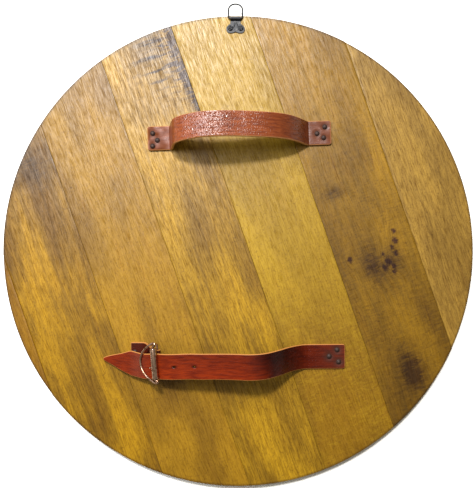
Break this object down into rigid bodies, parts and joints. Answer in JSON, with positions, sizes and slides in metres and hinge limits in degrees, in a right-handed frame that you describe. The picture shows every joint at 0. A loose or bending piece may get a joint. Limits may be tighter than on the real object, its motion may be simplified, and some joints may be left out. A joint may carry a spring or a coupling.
{
  "type": "wooden round shield",
  "caption": "Round shield of edge-joined boards, seen from the back, with a bowed leather hand grip, a buckled leather arm strap and a hanging ring at the rim.",
  "frame": {"origin": "middle of the flat front face, which lies on the ground", "axes": "+Z out of the back, where the straps are; +Y towards the hanging ring; +X to the right as the picture shows the back"},
  "size_m": [0.61, 0.6287, 0.0692],
  "materials": {
    "board_1": "oiled mango wood, light amber",
    "board_2": "oiled mango wood, golden olive",
    "board_3": "oiled mango wood, light tan",
    "board_4": "oiled mango wood, streaked tan",
    "board_5": "oiled mango wood, palest yellow",
    "board_6": "oiled mango wood, dark burl",
    "board_7": "oiled mango wood, light brown",
    "grip_leather": "orange-brown harness leather, satin, creased and worn",
    "arm_leather": "red-brown harness leather, satin",
    "rivet_iron": "dark oxidised rivets",
    "buckle_nickel": "nickel-plated wire, tarnished",
    "black_steel": "blackened sheet steel and wire"
  },
  "bodies": {
    "shield": {"board_1": "board_1", "board_2": "board_2", "board_3": "board_3", "board_4": "board_4", "board_5": "board_5", "board_6": "board_6", "board_7": "board_7", "grip_strap": "grip_leather", "arm_strap": "arm_leather", "buckle_strap": "arm_leather", "grip_rivet_1": "rivet_iron", "grip_rivet_2": "rivet_iron", "grip_rivet_3": "rivet_iron", "grip_rivet_4": "rivet_iron", "grip_rivet_5": "rivet_iron", "grip_rivet_6": "rivet_iron", "arm_rivet_1": "rivet_iron", "arm_rivet_2": "rivet_iron", "arm_rivet_3": "rivet_iron", "buckle_rivet_1": "rivet_iron", "buckle_rivet_2": "rivet_iron", "buckle_rivet_3": "rivet_iron", "buckle_frame": "buckle_nickel", "buckle_roller": "buckle_nickel", "buckle_prong": "buckle_nickel", "hanger_plate": "black_steel", "hanger_screw_left": "black_steel", "hanger_screw_right": "black_steel"},
    "ring": {"hanger_ring": "black_steel"}
  },
  "joints": [
    {"name": "ring_swing", "type": "hinge", "parent": "shield", "child": "ring", "pos_m": [-0.0035, 0.3007, 0.0186], "axis": [1, 0, 0], "range_deg": [0, 186]}
  ]
}
